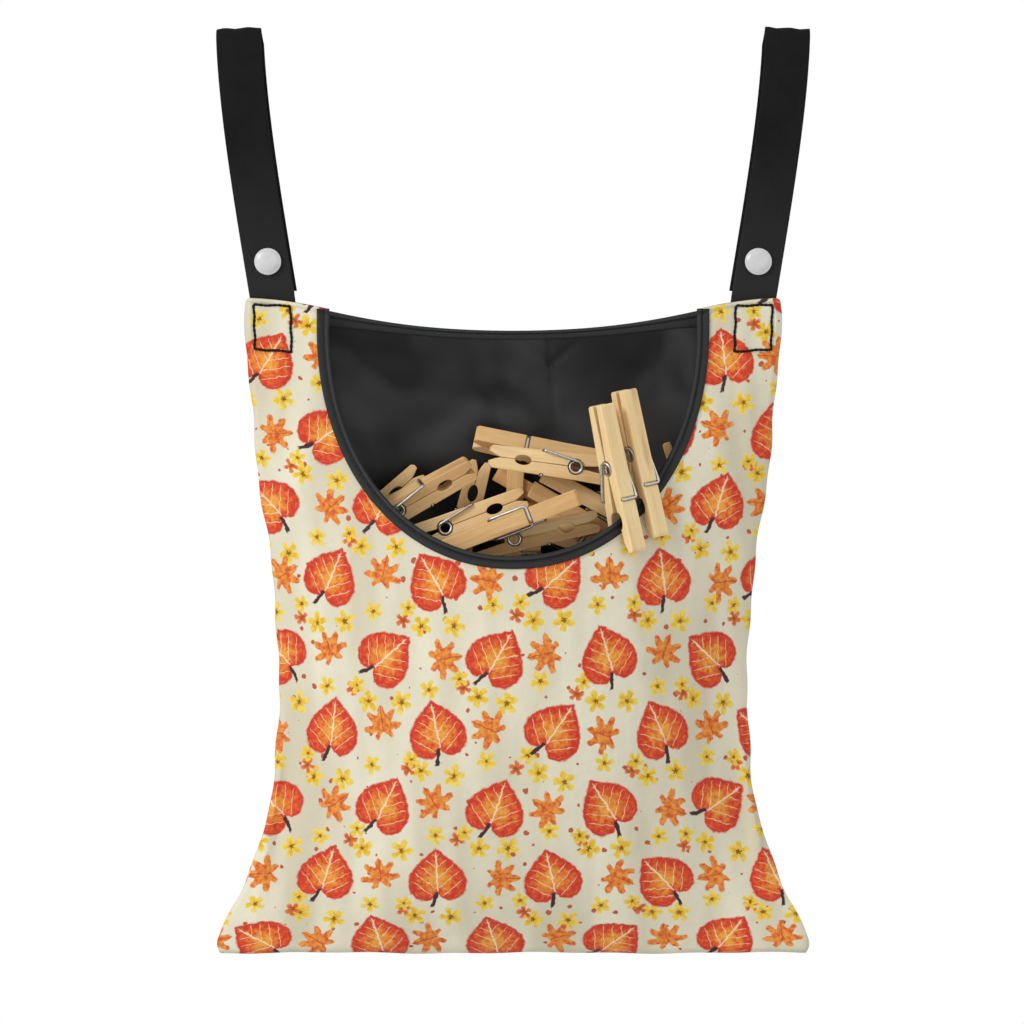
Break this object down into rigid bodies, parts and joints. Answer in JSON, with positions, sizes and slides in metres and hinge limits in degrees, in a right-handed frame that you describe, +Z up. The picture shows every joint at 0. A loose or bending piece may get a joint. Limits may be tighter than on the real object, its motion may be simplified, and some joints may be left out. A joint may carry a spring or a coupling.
{
  "type": "peg bag",
  "caption": "Hanging fabric peg bag with a U-shaped bound mouth, snap-closed strap loops, and sprung wooden pegs inside and clipped to its rim.",
  "frame": {"origin": "midway between the two strap loops, at the inside of their tops, on the line that they hang from", "axes": "+X to the right along the line, -Y out of the printed front with the mouth, +Z up"},
  "size_m": [0.3302, 0.0864, 0.5155],
  "materials": {
    "print": "woven polyester printed with an autumn pattern on cream",
    "lining": "black polyester lining with a soft sheen",
    "tape": "black bias tape",
    "webbing": "flat black woven webbing",
    "thread": "black sewing thread",
    "stud": "pearly white moulded plastic",
    "wood": "bare pale wood with fine grain",
    "steel": "bright round spring wire"
  },
  "bodies": {
    "bag": {"front_panel": "print", "front_lining": "lining", "mouth_binding": "tape", "back_panel": "print", "back_lining": "lining", "back_hem": "tape", "left_strap": "webbing", "left_snap_cap": "stud", "left_snap_socket": "stud", "left_box_stitch": "thread", "right_strap": "webbing", "right_snap_cap": "stud", "right_snap_socket": "stud", "right_box_stitch": "thread", "pegs_below": "wood", "peg_03_lever_a": "wood", "peg_03_spring": "steel", "peg_04_lever_a": "wood", "peg_04_spring": "steel", "peg_05_lever_a": "wood", "peg_05_spring": "steel", "peg_06_lever_a": "wood", "peg_06_spring": "steel", "peg_07_lever_a": "wood", "peg_07_spring": "steel", "peg_08_lever_a": "wood", "peg_08_spring": "steel", "peg_09_lever_a": "wood", "peg_09_spring": "steel", "peg_10_lever_a": "wood", "peg_10_spring": "steel", "peg_11_lever_a": "wood", "peg_11_spring": "steel", "peg_12_lever_a": "wood", "peg_12_spring": "steel"},
    "left_tail": {"left_strap_tail": "webbing", "left_snap_stud": "stud", "left_snap_post": "stud"},
    "right_tail": {"right_strap_tail": "webbing", "right_snap_stud": "stud", "right_snap_post": "stud"},
    "peg_01": {"peg_01_lever_a": "wood", "peg_01_spring": "steel"},
    "peg_01_jaw": {"peg_01_lever_b": "wood"},
    "peg_02": {"peg_02_lever_a": "wood", "peg_02_spring": "steel"},
    "peg_02_jaw": {"peg_02_lever_b": "wood"},
    "peg_03_jaw": {"peg_03_lever_b": "wood"},
    "peg_04_jaw": {"peg_04_lever_b": "wood"},
    "peg_05_jaw": {"peg_05_lever_b": "wood"},
    "peg_06_jaw": {"peg_06_lever_b": "wood"},
    "peg_07_jaw": {"peg_07_lever_b": "wood"},
    "peg_08_jaw": {"peg_08_lever_b": "wood"},
    "peg_09_jaw": {"peg_09_lever_b": "wood"},
    "peg_10_jaw": {"peg_10_lever_b": "wood"},
    "peg_11_jaw": {"peg_11_lever_b": "wood"},
    "peg_12_jaw": {"peg_12_lever_b": "wood"}
  },
  "joints": [
    {"name": "left_loop_opening", "type": "hinge", "parent": "bag", "child": "left_tail", "pos_m": [-0.1521, 0.0029, -0.00317], "axis": [0.9922, 0, 0.1249], "range_deg": [0, 105]},
    {"name": "right_loop_opening", "type": "hinge", "parent": "bag", "child": "right_tail", "pos_m": [0.1521, 0.0029, -0.00317], "axis": [0.9922, 0, -0.1249], "range_deg": [0, 105]},
    {"name": "peg_01_pull_off", "type": "slide", "parent": "bag", "child": "peg_01", "axis": [-0.1906, -0.0487, 0.9805], "range_m": [0, 0.03]},
    {"name": "peg_01_squeeze", "type": "hinge", "parent": "peg_01", "child": "peg_01_jaw", "pos_m": [0.05525, -0.03678, -0.24313], "axis": [-0.8132, -0.5517, -0.1855], "range_deg": [0, 3], "stiffness_Nm_per_rad": 0.12, "springref_deg": -22.92, "deforming": ["peg_01_spring"]},
    {"name": "peg_02_pull_off", "type": "slide", "parent": "bag", "child": "peg_02", "axis": [-0.1906, -0.0439, 0.9807], "range_m": [0, 0.03]},
    {"name": "peg_02_squeeze", "type": "hinge", "parent": "peg_02", "child": "peg_02_jaw", "pos_m": [0.0678, -0.02792, -0.23496], "axis": [-0.8069, -0.5619, -0.182], "range_deg": [0, 3], "stiffness_Nm_per_rad": 0.12, "springref_deg": -22.92, "deforming": ["peg_02_spring"]},
    {"name": "peg_03_squeeze", "type": "hinge", "parent": "bag", "child": "peg_03_jaw", "pos_m": [0.00058, -0.01402, -0.28242], "axis": [0, 1, 0], "range_deg": [0, 12], "stiffness_Nm_per_rad": 0.12, "springref_deg": -22.92, "deforming": ["peg_03_spring"]},
    {"name": "peg_04_squeeze", "type": "hinge", "parent": "bag", "child": "peg_04_jaw", "pos_m": [-0.00863, -0.02877, -0.27636], "axis": [0.3584, 0, -0.9336], "range_deg": [0, 12], "stiffness_Nm_per_rad": 0.12, "springref_deg": -22.92, "deforming": ["peg_04_spring"]},
    {"name": "peg_05_squeeze", "type": "hinge", "parent": "bag", "child": "peg_05_jaw", "pos_m": [-0.03776, -0.00281, -0.27636], "axis": [0, -1, 0], "range_deg": [0, 12], "stiffness_Nm_per_rad": 0.12, "springref_deg": -22.92, "deforming": ["peg_05_spring"]},
    {"name": "peg_06_squeeze", "type": "hinge", "parent": "bag", "child": "peg_06_jaw", "pos_m": [-0.06474, -0.01013, -0.26565], "axis": [0.274, -0.9029, -0.3313], "range_deg": [0, 12], "stiffness_Nm_per_rad": 0.12, "springref_deg": -22.92, "deforming": ["peg_06_spring"]},
    {"name": "peg_07_squeeze", "type": "hinge", "parent": "bag", "child": "peg_07_jaw", "pos_m": [-0.08748, 0.00144, -0.27703], "axis": [0.1034, -0.9903, 0.0931], "range_deg": [0, 12], "stiffness_Nm_per_rad": 0.12, "springref_deg": -22.92, "deforming": ["peg_07_spring"]},
    {"name": "peg_08_squeeze", "type": "hinge", "parent": "bag", "child": "peg_08_jaw", "pos_m": [-0.02963, 0.01099, -0.28574], "axis": [0, -1, 0], "range_deg": [0, 12], "stiffness_Nm_per_rad": 0.12, "springref_deg": -22.92, "deforming": ["peg_08_spring"]},
    {"name": "peg_09_squeeze", "type": "hinge", "parent": "bag", "child": "peg_09_jaw", "pos_m": [0.03436, -0.0152, -0.2425], "axis": [-0.1036, 0.9945, 0.0136], "range_deg": [0, 12], "stiffness_Nm_per_rad": 0.12, "springref_deg": -22.92, "deforming": ["peg_09_spring"]},
    {"name": "peg_10_squeeze", "type": "hinge", "parent": "bag", "child": "peg_10_jaw", "pos_m": [0.02548, 0.00585, -0.23602], "axis": [0.1801, 0.5, 0.8471], "range_deg": [0, 12], "stiffness_Nm_per_rad": 0.12, "springref_deg": -22.92, "deforming": ["peg_10_spring"]},
    {"name": "peg_11_squeeze", "type": "hinge", "parent": "bag", "child": "peg_11_jaw", "pos_m": [0.04739, -0.00033, -0.26275], "axis": [-0.4695, 0, -0.8829], "range_deg": [0, 12], "stiffness_Nm_per_rad": 0.12, "springref_deg": -22.92, "deforming": ["peg_11_spring"]},
    {"name": "peg_12_squeeze", "type": "hinge", "parent": "bag", "child": "peg_12_jaw", "pos_m": [0.10043, -0.0022, -0.26109], "axis": [0, 1, 0], "range_deg": [0, 12], "stiffness_Nm_per_rad": 0.12, "springref_deg": -22.92, "deforming": ["peg_12_spring"]}
  ]
}
